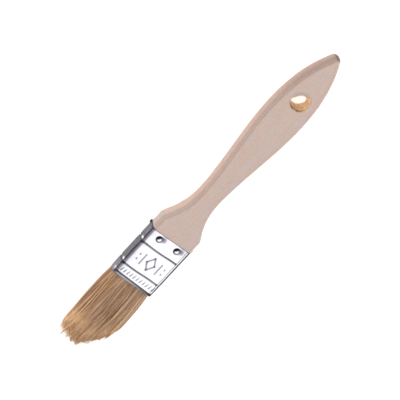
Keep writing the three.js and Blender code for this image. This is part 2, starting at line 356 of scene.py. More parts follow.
def set_resin():
    """Cured amber resin with small bubbles and streaks."""
    nodes = Nodes("set_resin")
    streaks = nodes.noise((300, 700, 700), detail=4, distortion=1.0)
    colour = nodes.ramp(streaks, (0.3, srgb(112, 80, 40)), (0.7, srgb(160, 122, 68)))
    nodes.surface("Base Color", colour)
    nodes.surface("Roughness", nodes.spread(streaks, 0.25, 0.5))
    nodes.bump(nodes.noise((3000, 3000, 3000), detail=2), 0.05 * MM)
    return nodes.material


def plug_wood():
    """Rough-sawn softwood with straight grain."""
    nodes = Nodes("plug_wood")
    grain = nodes.noise((120, 2200, 2200), detail=5, roughness=0.6)
    colour = nodes.ramp(grain, (0.3, srgb(158, 124, 88)), (0.7, srgb(206, 176, 138)))
    nodes.surface("Base Color", colour)
    nodes.surface("Roughness", nodes.spread(grain, 0.7, 0.9))
    nodes.bump(grain, 0.1 * MM)
    return nodes.material


def dress(piece, material):
    piece.data.materials.clear()
    piece.data.materials.append(material)


# ---------------- handle

HALF_THICKNESS = (HANDLE_HIGH.z - HANDLE_LOW.z) / 2
HOLE_CENTRE = np.array((TIP_X + 29.2 * MM, 0.0))
HOLE_RADIUS = 5.4 * MM
ROUND_HOLE = 2.0 * MM  # no side or edge of the handle is as near to the bore as this

# Directions round the hole's axis, from +X.
FIBRES_TOWARDS = math.radians(-143)  # torn fibres stand into the bore at every depth
CLUMP_TOWARDS = math.radians(155)  # a clump of fibres stands in at mid depth only
WORN_TOWARDS = math.radians(120)  # the front rim is worn as pale as the face

HANDLE_VOXEL = 0.34 * MM
WELD_WITHIN = 0.002 * MM
BURR_CENTRE = np.array((FERRULE_LOW.x - 0.8 * MM, 12.2 * MM, MID_Z + 2.4 * MM))
BURR_REACH = np.array((0.9, 1.4, 1.3)) * MM
BURR_HEIGHT = 1.1 * MM


def about_hole(points):
    """Each point's offset from the hole's axis, its distance from it, and its angle round it."""
    offset = points[:, :2] - HOLE_CENTRE
    radius = np.hypot(offset[:, 0], offset[:, 1])
    return offset, radius, np.arctan2(offset[:, 1], offset[:, 0])


def towards(turn, angle, low, high):
    """1 where turn is close to angle; the cosines low and high are where it fades out."""
    return ease(low, high, np.cos(turn - angle))


def chip_the_bore(points):
    """The drill tore the wood: fibres stand into the bore towards the tip, and its rims wander."""
    offset, radius, turn = about_hole(points)
    to_face = HALF_THICKNESS - np.abs(points[:, 2] - MID_Z)
    circle = np.stack([np.cos(turn), np.sin(turn), to_face / HALF_THICKNESS], axis=1)
    tears = 0.34 * noise_at(circle, 2.6, 7.0) + 0.3 * noise_at(circle, 8.0, 3.0)
    fibres = towards(turn, FIBRES_TOWARDS, 0.1, 0.9) * ease(0.1 * MM, 0.9 * MM, to_face)
    clump = towards(turn, CLUMP_TOWARDS, 0.4, 0.95) * ease(0.8 * MM, 3.6 * MM, to_face)
    at_rim = 1 - ease(0.0, 2.6 * MM, to_face)
    push = tears * (0.35 + 0.65 * at_rim) - np.maximum(fibres, clump) * (2.05 + 1.3 * tears)
    near = 1 - ease(HOLE_RADIUS, HOLE_RADIUS + 1.6 * MM, radius)
    outward = offset / np.maximum(radius, 1e-6)[:, None]
    moved = points.copy()
    moved[:, :2] += outward * (push * near * MM)[:, None]
    return moved


def slim_the_tip(points):
    """Towards the tip the back is sanded in further than the front, and its corner is rounded off."""
    along = (points[:, 0] - TIP_X) / MM
    height = (points[:, 2] - MID_Z) / MM
    behind = ease(3.0, -4.0, height)
    inwards = (0.1 + 0.4 * behind) * (1 - ease(2, 18, along)) * MM
    slimmed = points.copy()
    slimmed[:, 1] -= np.tanh(points[:, 1] / (0.9 * MM)) * inwards
    slimmed[:, 0] += 0.9 * MM * np.exp(-along) * ease(-1.0, -4.6, height)
    return slimmed


def paint_outside(mesh, points, facing, sideways, wander):
    """Painted light on the wood: painted shade on the -Y side, deepest by the tip, with a warmer tint
    there; the +Y side is painted paler.
    """
    along = (points[:, 0] - TIP_X) / MM
    height = (points[:, 2] - MID_Z) / MM
    radius = about_hole(points)[1]
    outside = radius > HOLE_RADIUS + ROUND_HOLE
    minus_y = outside * (facing[:, 1] < 0)
    minus_y_side = sideways * minus_y

    near_tip = 1 - ease(14, 66, along + 8 * wander)
    by_tip = 0.16 + 0.3 * ease(-4.5, 3.8, height)
    by_belly = 0.11 + 0.2 * ease(1.0, 3.6, height) - 0.1 * ease(0.5, -4.0, height)
    # Painted shade on the -Y side strip, deepest by the tip.
    shade = minus_y_side * between(by_belly, by_tip, near_tip)
    # Painted light: the +Y side's rounding is painted paler.
    shade -= 0.36 * ease(0.15, 0.75, facing[:, 1]) * outside
    warm = minus_y_side * (1 - ease(100, 128, along))

    # A faint painted shade ring round the hole, and a painted shade line along the -Y front edge.
    hole_rim_shade = 1 - ease(HOLE_RADIUS, HOLE_RADIUS + 0.8 * MM, radius)
    edge = ease(0.7, 0.88, facing[:, 2]) * (1 - ease(0.93, 0.985, facing[:, 2]))
    level = 1 - shade - 0.03 * hole_rim_shade - 0.16 * edge * minus_y
    red = level * (1 + 0.02 * warm)
    green = level * (1 - 0.03 * shade - 0.065 * warm)
    blue = level * (1 - 0.04 * shade - 0.105 * warm)
    store_colour(mesh, "painted_light_tint", np.stack([red, green, blue, np.ones_like(level)], axis=1))


def paint_bore(mesh, points, sideways):
    """The bore's raw wall: worn away at one part of the front rim, and with painted shade under the
    opposite part, over the +X side and deepest just under the face.
    """
    offset, radius, turn = about_hole(points)
    height = (points[:, 2] - MID_Z) / MM
    at_wall = 1 - ease(HOLE_RADIUS + 0.25 * MM, HOLE_RADIUS + 0.75 * MM, radius)
    worn_rim = towards(turn, WORN_TOWARDS, 0.2, 0.9) * ease(2.2, 4.4, height)
    store(mesh, "bore", at_wall * ease(0.35, 0.8, sideways) * (1 - 0.7 * worn_rim))

    # Painted shade on the +X side of the wall, deepest just under the front face; ragged adds uneven
    # tone.
    low_side = ease(0.1, 0.9, offset[:, 0] / HOLE_RADIUS)
    ragged = 0.5 * noise_at(points, (900, 900, 900), 8.0)
    under_face = 1 - ease(0.6, 2.6, HALF_THICKNESS / MM - height + 1.6 * ragged)
    level = 1 - 0.12 * low_side - 0.55 * low_side * under_face + 0.3 * ragged
    store_colour(mesh, "bore_shade", np.stack([level, level, level, np.ones_like(level)], axis=1))


def paint_handle(mesh):
    """Stores the tints that depend on place: painted light and shade on the sides, painted shade on the
    bore's wall, and the sawn end.
    """
    points = positions(mesh)
    facing = normals(mesh)
    sideways = np.sqrt(np.clip(1 - facing[:, 2] ** 2, 0, 1))
    wander = noise_at(points, (30, 90, 90), 5.0)
    paint_outside(mesh, points, facing, sideways, wander)
    paint_bore(mesh, points, sideways)
    along = (points[:, 0] - TIP_X) / MM
    height = (points[:, 2] - MID_Z) / MM
    at_end = 1 - ease(0.2, 0.6, along + 0.3 * wander)
    store(mesh, "end_grain", at_end * ease(-4.8, -2.4, height) * 0.8)


def evenly_meshed(piece):
    """Welds the CAD mesh and rebuilds it from small even faces, with its edges slightly softened."""
    welded = bmesh.new()
    welded.from_mesh(piece.data)
    bmesh.ops.remove_doubles(welded, verts=welded.verts, dist=WELD_WITHIN)
    welded.to_mesh(piece.data)
    welded.free()
    even = piece.modifiers.new("even", "REMESH")
    even.mode = "VOXEL"
    even.voxel_size = HANDLE_VOXEL
    soften = piece.modifiers.new("soften", "SMOOTH")
    soften.factor = 0.5
    soften.iterations = 3
    return with_modifiers_applied(piece)


def wood_handle():
    piece = link("wood_handle", NODES["handle"].data.copy())
    mesh = evenly_meshed(piece)
    points = slim_the_tip(chip_the_bore(positions(mesh)))
    swell = noise_at(points, (60, 160, 160), 11.0) * 0.04 * MM
    grain = noise_at(points, (300, 1400, 1400), 2.0) * 0.012 * MM
    points += normals(mesh) * (swell + grain)[:, None]
    burr = np.exp(-((points - BURR_CENTRE) / BURR_REACH) ** 2 @ np.ones(3))
    points[:, 1] += burr * BURR_HEIGHT
    points[:, 2] = np.clip(points[:, 2], HANDLE_LOW.z, HANDLE_HIGH.z)
    move_to(mesh, points)
    paint_handle(mesh)
    shade_smooth(mesh)
    dress(piece, bare_wood())
    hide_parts("handle")
    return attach(piece, "brush_body")


# ---------------- ferrule

# The pressed sheet in mm: along from its handle end, across from its middle line.
FERRULE_LENGTH_MM = (FERRULE_HIGH.x - FERRULE_LOW.x) / MM
FERRULE_WIDTH_MM = 25.4
FERRULE_DEPTH_MM = 9.3
FERRULE_CORNER_MM = 2.0
SHEET_MM = 0.35
GROOVES_MM = (9.4, 24.5)
GROOVE_DEPTH_MM = 0.5
GROOVE_HALF_WIDTH_MM = 0.8
LIP_STARTS_MM = FERRULE_LENGTH_MM - 2.0
LIP_DRAWN_IN_MM = 0.6
LIP_CROOKED_MM = 0.9
NAIL_ALONG_MM = 3.2
NAIL_ACROSS_MM = 5.8
GLINT_ALONG_MM = (8.1, 23.2, 29.9)
SHADE_SPOTS_ALONG_MM = (9.6, 24.7, 30.6)
LAP_ACROSS_MM = (-11.2, -7.8)
LAP_LENGTH_MM = 7.85
LAP_THICKNESS_MM = 0.28

# The marks pressed into its faces.
STROKE_DEPTH_MM = 0.1
STROKE_HALF_WIDTH_MM = 0.35
CRIMPS = 11
CRIMP_PITCH_MM = 2.05
CRIMP_SHIFT_MM = 0.3
CRIMP_SLANT_MM = 0.25
CRIMP_ENDS_MM = (26.5, 28.6)
MOTIF_MIDDLE_MM = sum(GROOVES_MM) / 2
LOZENGE_HALF_LENGTH_MM = 4.0
LOZENGE_HALF_WIDTH_MM = 2.5
BAR_HALF_LENGTH_MM = 3.2
BAR_ACROSS_MM = 5.2
DOT_HALF_LENGTH_MM = 0.15
DOT_ALONG_MM = 1.6
DOT_ACROSS_MM = 8.0

# How finely it is drawn.
FRONT_STEPS = 180
SIDE_STEPS = 30
BACK_STEPS = 110
CORNER_STEPS = 14
OUTER_ROWS = 201
INNER_ROWS = 17


def to_stroke(along, across, start, end):
    """Distance from each point to a straight stroke, in the plane of a face."""
    direction = np.array(end) - np.array(start)
    offset = np.stack([along - start[0], across - start[1]], axis=-1)
    share = np.clip(offset @ direction / (direction @ direction), 0, 1)
    return np.hypot(*(offset - share[..., None] * direction).transpose(2, 0, 1))


def pressed(distance, half_width):
    return np.exp(-(distance / half_width) ** 2)


def patch(distances, reaches):
    """A soft spot: 1 at its middle, and falling off over its reach on each axis."""
    return np.exp(-sum((distance / reach) ** 2 for distance, reach in zip(distances, reaches)))


def crimp_strokes():
    """A row of slanted crimps by the lip."""
    start, end = CRIMP_ENDS_MM
    strokes = []
    for i in range(CRIMPS):
        y = (i - CRIMPS // 2) * CRIMP_PITCH_MM + CRIMP_SHIFT_MM
        strokes.append(((start, y + CRIMP_SLANT_MM), (end, y - CRIMP_SLANT_MM)))
    return strokes


def stroke_along(middle, half_length, across):
    return ((middle - half_length, across), (middle + half_length, across))


def motif_strokes():
    """A plain lozenge between the grooves, with a bar and two dots on each side."""
    corners = [
        (MOTIF_MIDDLE_MM - LOZENGE_HALF_LENGTH_MM, 0), (MOTIF_MIDDLE_MM, LOZENGE_HALF_WIDTH_MM),
        (MOTIF_MIDDLE_MM + LOZENGE_HALF_LENGTH_MM, 0), (MOTIF_MIDDLE_MM, -LOZENGE_HALF_WIDTH_MM)]
    strokes = [(corners[i], corners[(i + 1) % 4]) for i in range(4)]
    for side in (-1, 1):
        strokes.append(stroke_along(MOTIF_MIDDLE_MM, BAR_HALF_LENGTH_MM, side * BAR_ACROSS_MM))
        for at in (-DOT_ALONG_MM, DOT_ALONG_MM):
            strokes.append(stroke_along(MOTIF_MIDDLE_MM + at, DOT_HALF_LENGTH_MM, side * DOT_ACROSS_MM))
    return strokes


def ferrule_outline():
    """Points and outward directions round the ferrule, as (across, height) from its axis in mm."""
    half_width, half_depth = FERRULE_WIDTH_MM / 2, FERRULE_DEPTH_MM / 2
    flats = (
        ((0, 1), FRONT_STEPS, half_width, half_depth), ((1, 0), SIDE_STEPS, half_depth, half_width),
        ((0, -1), BACK_STEPS, half_width, half_depth), ((-1, 0), SIDE_STEPS, half_depth, half_width))
    places, outward = [], []
    for normal, steps, half_length, from_axis in flats:
        tangent = np.array((normal[1], -normal[0]), float)
        normal = np.array(normal, float)
        middle = normal * from_axis
        reach = tangent * (half_length - FERRULE_CORNER_MM)
        for i in range(steps):
            places.append(middle + reach * (2 * i / steps - 1))
            outward.append(normal)
        centre = middle + reach - normal * FERRULE_CORNER_MM
        for i in range(CORNER_STEPS):
            angle = math.pi / 2 * i / CORNER_STEPS
            direction = normal * math.cos(angle) + tangent * math.sin(angle)
            places.append(centre + direction * FERRULE_CORNER_MM)
            outward.append(direction)
    return np.array(places), np.array(outward)


class Relief:
    """The ferrule's outer face, point by point, in mm.

    inset is how far a point stands in from the plain band. The three other shares darken the tin: a
    dark painted shade in the pressed marks, along corners and round the nails; a soft violet painted
    shade; and dulled tin, whose dark colour is a painted reflection.
    """

    def __init__(self, along, across, height):
        self.along = along
        self.across = across
        self.height = height
        self.front = ease(3.6, 4.3, height)
        self.back = ease(3.6, 4.3, -height)
        self.faces = self.front + self.back
        self.side = ease(11.6, 12.5, np.abs(across))
        self.lip = np.zeros_like(along)
        self.inset = np.zeros_like(along)
        self.shade_and_grime = np.zeros_like(along)
        self.soft_shade = np.zeros_like(along)
        # The narrow sides are dulled; their dark colour is a painted reflection.
        self.dull_and_shade = ease(11.2, 12.4, np.abs(across))


def press_grooves(relief):
    """Two grooves that wander slightly and fade at the +Y corner."""
    fade = 1 - ease(10.2, 10.7, relief.across)
    for at in GROOVES_MM:
        wander = 0.12 * np.sin(relief.across / 3.1 + at * 0.9)
        from_groove = relief.along - at - wander
        reach = np.clip(np.abs(from_groove) / GROOVE_HALF_WIDTH_MM, 0, 1)
        depth = GROOVE_DEPTH_MM * (0.25 + 0.75 * fade)
        relief.inset += depth * (0.5 + 0.5 * np.cos(math.pi * reach))
        # Painted shade along each groove's floor.
        relief.shade_and_grime += 0.95 * pressed(from_groove, 0.34) * fade


def draw_in_lip(relief):
    """The lip at the mouth starts at a crooked bend, and is drawn in less on the narrow sides."""
    bend = LIP_STARTS_MM + LIP_CROOKED_MM * relief.across / FERRULE_WIDTH_MM
    past_bend = relief.along - bend
    relief.lip = ease(-0.35, 0.5, past_bend)
    relief.inset += LIP_DRAWN_IN_MM * ease(-0.5, 1.6, past_bend) * (1 - 0.75 * relief.side)
    # Soft painted shade over the whole lip, dark painted shade that deepens towards +Y, and a painted
    # dark line at the mouth's edge.
    relief.soft_shade += 0.8 * relief.lip
    relief.shade_and_grime += relief.lip * (0.03 + 0.4 * ease(-3, 10, relief.across))
    relief.shade_and_grime += 0.25 * ease(31.2, 31.8, relief.along)


def press_crimps(relief):
    """The crimps are on both faces, with soft and dark painted shade along them that is darker towards
    the lip.
    """
    deeper = ease(CRIMP_ENDS_MM[0] - 1.0, CRIMP_ENDS_MM[1], relief.along)
    for start, end in crimp_strokes():
        for across, face in ((relief.across, relief.front), (-relief.across, relief.back)):
            reach = to_stroke(relief.along, across, start, end)
            relief.inset += STROKE_DEPTH_MM * pressed(reach, STROKE_HALF_WIDTH_MM) * face
            relief.soft_shade += (0.45 + 0.45 * deeper) * pressed(reach, 0.46) * face
            relief.shade_and_grime += 0.42 * deeper * pressed(reach, 0.32) * face


def press_motif(relief):
    for start, end in motif_strokes():
        reach = to_stroke(relief.along, relief.across, start, end)
        relief.inset += STROKE_DEPTH_MM * pressed(reach, STROKE_HALF_WIDTH_MM) * relief.front
        # Soft and dark painted shade along each stroke.
        relief.soft_shade += 0.8 * pressed(reach, 0.6) * relief.front
        relief.shade_and_grime += 0.45 * pressed(reach, 0.34) * relief.front


def crush_sides(relief):
    """Between the second groove and the lip the narrow sides are crushed into shallow dents."""
    rough = np.sin(5.1 * relief.along + 1.7 * np.sin(3.9 * relief.height))
    rough *= np.sin(4.3 * relief.height + 2.1)
    crushed = relief.side * ease(25.2, 25.8, relief.along) * (1 - relief.lip)
    relief.inset += 0.16 * crushed * (0.5 + 0.5 * rough)
    # Painted shade where the dents are shallow; where they are deepest the dark painted reflection is
    # taken off, as painted glints.
    relief.shade_and_grime += 0.5 * crushed * np.clip(-rough, 0, 1)
    relief.dull_and_shade *= 1 - 0.75 * crushed * ease(0.35, 0.8, rough)


def dent_round_nails(relief):
    """Each nail has pulled the sheet in; round its head the sheet has a painted shadow ring, and soft
    and dark painted shade to one side.
    """
    along = relief.along - NAIL_ALONG_MM
    for side in (-1, 1):
        across = relief.across - side * NAIL_ACROSS_MM
        relief.inset += 0.2 * patch((along - 0.2, across - 0.5), (2.0, 2.3)) * relief.faces
        relief.soft_shade += 1.3 * patch((along + 0.9, across - 2.1), (1.8, 1.9)) * relief.faces
        relief.shade_and_grime += 0.6 * pressed(np.hypot(along, across) - 1.95, 0.2) * relief.faces
        relief.shade_and_grime += 0.45 * patch((along + 1.1, across - 1.6), (1.0, 1.1)) * relief.faces


def crown_faces(relief):
    """The faces fall slightly towards their corners, and have a soft painted shade towards the -Y one.
    """
    fallen = np.clip((relief.across / (FERRULE_WIDTH_MM / 2)) ** 2, 0, 1)
    relief.inset += 0.14 * fallen * relief.faces
    relief.soft_shade += 0.42 * ease(-4.5, -11.6, relief.across) ** 2 * relief.faces


def shade_edges(relief):
    """Painted shade by the handle, along both corners, along the narrow sides' edges, down the +Y
    corner's front, and in three spots.
    """
    across, height = relief.across, relief.height
    relief.shade_and_grime += 0.95 * pressed(relief.along, 0.4)
    relief.shade_and_grime += 0.6 * pressed(across + 11.2, 0.26) * relief.faces
    relief.shade_and_grime += 0.75 * pressed(across - 10.5, 0.26) * relief.faces
    relief.shade_and_grime += 0.7 * relief.side * pressed(np.abs(height) - 3.6, 0.5)
    front_band = ease(11.15, 11.5, across) * ease(12.66, 12.56, across) * (height > 0)
    relief.shade_and_grime += 0.95 * front_band
    for at in SHADE_SPOTS_ALONG_MM:
        relief.shade_and_grime += 0.9 * patch((relief.along - at, across + 12.0, height - 3.9), (0.6, 0.7, 0.8))


def lap_the_seam(relief):
    """On the back, by the handle, the strip's end lies over its start as a second layer."""
    start, end = LAP_ACROSS_MM
    by_handle = ease(LAP_LENGTH_MM + 0.05, LAP_LENGTH_MM - 0.05, relief.along)
    lap = ease(start - 0.05, start + 0.05, relief.across) * by_handle * relief.back
    lap *= ease(end + 0.05, end - 0.05, relief.across)
    relief.inset -= LAP_THICKNESS_MM * lap
    shadow = pressed(relief.across - end - 0.1, 0.15)
    relief.shade_and_grime += 0.7 * shadow * ease(8.0, 7.8, relief.along) * relief.back


def paint_glints(relief):
    """Three painted glints on the -Y side: the dark painted reflection and shade are taken off there.
    """
    for at in GLINT_ALONG_MM:
        glint = np.exp(-((relief.along - at) / 0.8) ** 4 - ((relief.height - 2.3) / 1.2) ** 4)
        glint *= relief.side * (relief.across < 0)
        relief.dull_and_shade *= 1 - glint
        relief.shade_and_grime *= 1 - glint


def ferrule_relief(rows, places):
    shape = (len(rows), len(places))
    along = np.broadcast_to(rows[:, None], shape)
    across = np.broadcast_to(places[:, 0], shape)
    height = np.broadcast_to(places[:, 1], shape)
    relief = Relief(along, across, height)
    press_grooves(relief)
    draw_in_lip(relief)
    press_crimps(relief)
    press_motif(relief)
    crush_sides(relief)
    dent_round_nails(relief)
    crown_faces(relief)
    shade_edges(relief)
    lap_the_seam(relief)
    paint_glints(relief)
    return relief


def ferrule_rows(rows, places, outward, inset):
    """The sheet's points row by row, in metres: the outline, moved in by inset."""
    along = np.broadcast_to(rows[:, None], inset.shape)
    across = places[:, 0] - inset * outward[:, 0]
    height = places[:, 1] - inset * outward[:, 1]
    return np.stack([FERRULE_LOW.x + along * MM, across * MM, MID_Z + height * MM], axis=-1)


def pressed_ferrule():
    """One sheet: rows of points to the mouth outside, and back to the handle inside."""
    places, outward = ferrule_outline()
    around = len(places)
    outer_rows = np.linspace(0, FERRULE_LENGTH_MM, OUTER_ROWS)
    inner_rows = np.linspace(FERRULE_LENGTH_MM, 0, INNER_ROWS)
    relief = ferrule_relief(outer_rows, places)
    behind = [np.interp(inner_rows, outer_rows, column) for column in relief.inset.T]
    inner_inset = np.stack(behind, axis=1) + SHEET_MM
    outer = ferrule_rows(outer_rows, places, outward, relief.inset)
    inner = ferrule_rows(inner_rows, places, outward, inner_inset)

    rows = OUTER_ROWS + INNER_ROWS
    faces = []
    for i in range(rows):
        here, after = i * around, ((i + 1) % rows) * around
        for j in range(around):
            k = (j + 1) % around
            faces.append((here + j, here + k, after + k, after + j))
    mesh = mesh_from("pressed_ferrule", np.concatenate([outer, inner]).reshape(-1, 3), faces)
    shade_smooth(mesh)
    inside = around * INNER_ROWS
    # The inside of the sheet is painted dark: fully dulled, with painted shade.
    for name, outer_values, inner_value in (
            ("dull_and_shade", relief.dull_and_shade, 1.0), ("shade_and_grime", relief.shade_and_grime, 0.4), ("soft_shade", relief.soft_shade, 0.0)):
        values = np.clip(outer_values, 0, 1).ravel()
        store(mesh, name, np.concatenate([values, np.full(inside, inner_value)]))
    return mesh


KNOB_LENGTH = 1.2 * MM
KNOB_RADIUS = 0.42 * MM
KNOB_CENTRE = Vector((FERRULE_LOW.x + 0.35 * MM, FERRULE_LOW.y + 0.25 * MM, MID_Z - 3.7 * MM))
KNOB_STEPS = 16
KNOB_SIDES = 20


def seam_knob():
    """The strip's end, rolled into a small knob at the top back corner on the -Y side."""
    vertices = []
    for i in range(KNOB_STEPS):
        slope = -math.pi / 2 + math.pi * (i + 0.5) / KNOB_STEPS
        stretch = KNOB_LENGTH / 2 * (1 if slope > 0 else -1)
        for j in range(KNOB_SIDES):
            turn = 2 * math.pi * j / KNOB_SIDES
            ring = math.cos(slope)
            place = Vector((math.sin(slope), ring * math.cos(turn), ring * math.sin(turn)))
            swell = 1 + 0.12 * noise.noise(place * 2.4)
            vertices.append(KNOB_CENTRE + place * KNOB_RADIUS * swell + Vector((stretch, 0, 0)))
    mesh = mesh_from("seam_knob", vertices, capped_tube_faces(KNOB_STEPS, KNOB_SIDES))
    shade_smooth(mesh)
    store(mesh, "dull_and_shade", np.full(len(vertices), 0.8))
    store(mesh, "soft_shade", np.zeros(len(vertices)))
    store(mesh, "shade_and_grime", [0.75 + 0.25 * noise.noise(Vector(v) / (0.6 * MM)) for v in vertices])
    return link("seam_knob", mesh)


def ferrule():
    material = tinned_steel()
    sheet = link("ferrule_sheet", pressed_ferrule())
    knob = seam_knob()
    for piece in (sheet, knob):
        dress(piece, material)
        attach(piece, "brush_body")
    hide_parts("ferrule")


# ---------------- nails

NAIL_SIDES = 56
NAIL_SHADE_TOWARDS = math.radians(-132)  # the side of a head with a painted dark crescent
SHANK_RADIUS = 0.7 * MM
NAIL_POINT_LENGTH = 0.8 * MM
HEAD_SUNK = 0.12 * MM
HEAD_RIM = 0.22  # the share of a head's height at which its dome starts
DOME_STEPS = 16
FRONT_NAIL_LIFT = 0.18 * MM


def nail_profile(facing, point, under, top, head_radius):
    """Each ring's radius and height, from the point to the crown; facing is 1 for a front nail."""
    profile = [
        (0.02 * MM, point), (SHANK_RADIUS, point + facing * NAIL_POINT_LENGTH), (SHANK_RADIUS, under),
        (head_radius * 0.98, under), (head_radius, between(under, top, HEAD_RIM))]
    for i in range(1, DOME_STEPS + 1):
        angle = math.pi / 2 * i / DOME_STEPS
        rise = HEAD_RIM + (1 - HEAD_RIM) * math.sin(angle) ** 0.8
        profile.append((head_radius * math.cos(angle) + 0.01 * MM, between(under, top, rise)))
    return profile


def nail_shade(outwards, turn):
    """A head has painted shade in a ring towards its rim, and a painted dark crescent over one side;
    outwards is 1 at the rim.
    """
    shaded = max(0.0, math.cos(turn - NAIL_SHADE_TOWARDS)) ** 1.6
    ring = 0.68 * float(ease(0.32, 0.72, outwards))
    return min(1.0, ring + 1.1 * shaded * float(ease(0.05, 0.35, outwards)))


def domed_nail(name, node, material, lift):
    """A nail with a slightly uneven dome; lift raises its top past the CAD head's."""
    low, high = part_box(node)
    facing = 1 if (low.z + high.z) / 2 > MID_Z else -1
    point, top = (low.z, high.z) if facing > 0 else (high.z, low.z)
    under = MID_Z + facing * (FERRULE_DEPTH_MM / 2 * MM - HEAD_SUNK)
    head_radius = (high.x - low.x) / 2
    centre = (low + high) / 2
    profile = nail_profile(facing, point, under, top + facing * lift, head_radius)
    vertices, shade_and_grime = [], []
    for radius, z in profile:
        on_dome = radius < head_radius * 0.9
        for j in range(NAIL_SIDES):
            turn = 2 * math.pi * j / NAIL_SIDES
            x, y = radius * math.cos(turn), radius * math.sin(turn)
            uneven = 0.03 * MM * noise.noise(Vector((x, y, z)) / (0.9 * MM))
            vertices.append((centre.x + x, centre.y + y, z + uneven * on_dome))
            shade_and_grime.append(nail_shade(radius / head_radius, turn))
    mesh = mesh_from(name, vertices, capped_tube_faces(len(profile), NAIL_SIDES, flip=facing < 0))
    shade_smooth(mesh)
    store(mesh, "shade_and_grime", shade_and_grime)
    piece = link(name, mesh)
    dress(piece, material)
    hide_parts(node)
    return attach(piece, "brush_body")


def nails():
    material = nail_steel()
    for face, lift in (("front", FRONT_NAIL_LIFT), ("back", 0.0)):
        for side in ("left", "right"):
            domed_nail(f"nail_head_{face}_{side}", f"nail_{face}_{side}", material, lift)


# ---------------- bristles

ROOT_X = SETTING_END + 0.3 * MM
LONGEST_MM = 45.0
LONGEST_ACROSS_MM = -1.9
STATIONS_MM = (-5, 0, 4, 10, 20, 32, 45)  # from the mouth
HALF_WIDTHS_MM = (11.1, 11.7, 12.1, 12.4, 12.5, 12.4, 12.1)
MIDDLES_MM = (0.0, -0.35, -0.35, -0.2, -0.1, 0.0, 0.1)
HALF_THICKNESSES_MM = (3.4, 3.4, 3.8, 4.4, 4.8, 4.4, 3.0)
HALF_WIDTH_MM = 12.4
SECTION_HALF_SIZE_MM = (13, 4.8)
LIP_ENDS_MM = 0.6
IN_LIP_MM = ((-12.0, 11.4), (-3.45, 3.45))  # the limits across and through
PAST_LIP_MM = ((-13.2, 12.9), (-4.0, 4.85))
DIVIDER_CLEAR = 1.2 / 3.4  # the share of the half thickness that the divider takes up
HAIRS = 3900
RINGS = 9
HAIR_SIDES = 3
HAIR_RADII_MM = (0.085, 0.12)
COARSE = 1.7  # times the radius of a fine hair
STRANDS = 700
POINTS = 9  # points that the ends gather into, across the brush
POINT_DEPTH = 0.2  # as a share of the half thickness
POINTS_SEED = 5
FRONT_SEED = 11
BACK_SEED = 23

# Hair colours.
BROWN, DARK, PALE, GREY, BLOND, ORANGE = (np.array(srgb(*colour)[:3]) for colour in (
    (182, 143, 107), (98, 66, 40), (236, 202, 166), (196, 180, 178), (255, 214, 168), (222, 160, 112)))


def tip_mm(across):
    """Where the bristles end across the brush, from the mouth: pointed, and shorter on the +Y side."""
    plus_side = np.clip(across - LONGEST_ACROSS_MM, 0, None) / 9.0
    minus_side = np.clip(LONGEST_ACROSS_MM - across, 0, None) / 9.0
    plus_corner = np.clip((across - 9.8) / 1.6, 0, None)
    minus_corner = np.clip((-across - 10.5) / 2, 0, None)
    fall = 9.1 * plus_side ** 1.35 + 4.5 * minus_side ** 1.6
    return LONGEST_MM - fall - 3.0 * plus_corner ** 2 - 2.0 * minus_corner ** 2


def section_places(count, generator):
    """Places in half of a rounded rectangle.

    The first is across, from -1 to 1; the second is from 0 at the middle plane to 1 at the face.
    """
    across = generator.uniform(-1, 1, 3 * count)
    through = generator.uniform(0, 1, 3 * count)
    reach_y = np.clip((np.abs(across) - 0.86) / 0.14, 0, None)
    reach_z = np.clip((through - 0.6) / 0.4, 0, None)
    inside = np.hypot(reach_y, reach_z) <= 1
    return across[inside][:count], through[inside][:count]


def nearest_strand(across, through, generator):
    """Each hair's strand, and the middle of that strand."""
    middle_y, middle_z = section_places(STRANDS, generator)
    size_y, size_z = SECTION_HALF_SIZE_MM
    distance = np.hypot((across[:, None] - middle_y) * size_y, (through[:, None] - middle_z) * size_z)
    nearest = distance.argmin(axis=1)
    return nearest, middle_y[nearest], middle_z[nearest]


def nearest_point(across):
    """The point that each hair's end is drawn to, the same in both rows: its place and extra length."""
    generator = np.random.default_rng(POINTS_SEED)
    places = np.linspace(-0.96, 0.96, POINTS) + generator.normal(0, 0.03, POINTS)
    extra = generator.normal(0, 1.0, POINTS)
    nearest = np.abs(across[:, None] - places).argmin(axis=1)
    return places[nearest], extra[nearest]


def hair_ends(across, strand, point_y, extra, loose_side, generator):
    """How far from the mouth each hair ends: uneven, and longest at the middle of each loose point."""
    end = tip_mm(across * HALF_WIDTH_MM) + 1.0
    uneven = extra + generator.normal(0, 1.0, STRANDS)[strand]
    end = end + uneven * loose_side
    end = end - np.abs(generator.normal(0, 1, HAIRS)) * (1.8 + 2.2 * loose_side)
    from_point = np.abs(across - point_y) * HALF_WIDTH_MM
    end = end - 3.2 * np.clip(from_point - 0.3, 0, 1.4) * loose_side
    stray = generator.random(HAIRS) < 0.015 + 0.09 * loose_side
    end = np.where(stray, end + generator.uniform(1.5, 5.0, HAIRS), end)
    return np.minimum(end, (TUFT_END - MOUTH_X) / MM + 0.8)


def ring_places(end):
    """How far from the mouth each ring of each hair is, from its hidden root to its end."""
    root = (ROOT_X - MOUTH_X) / MM
    share = np.concatenate([[0.0, 0.14], np.linspace(0.24, 1.0, RINGS - 2)])
    return root + (end[:, None] - root) * share


def drawn_in(own, strand, point, strand_pull, point_pull):
    """Each hair leaves its own place for its strand's, and then for its point's."""
    to_strand = (strand - own)[:, None] * strand_pull
    return own[:, None] + to_strand + (point - strand)[:, None] * point_pull


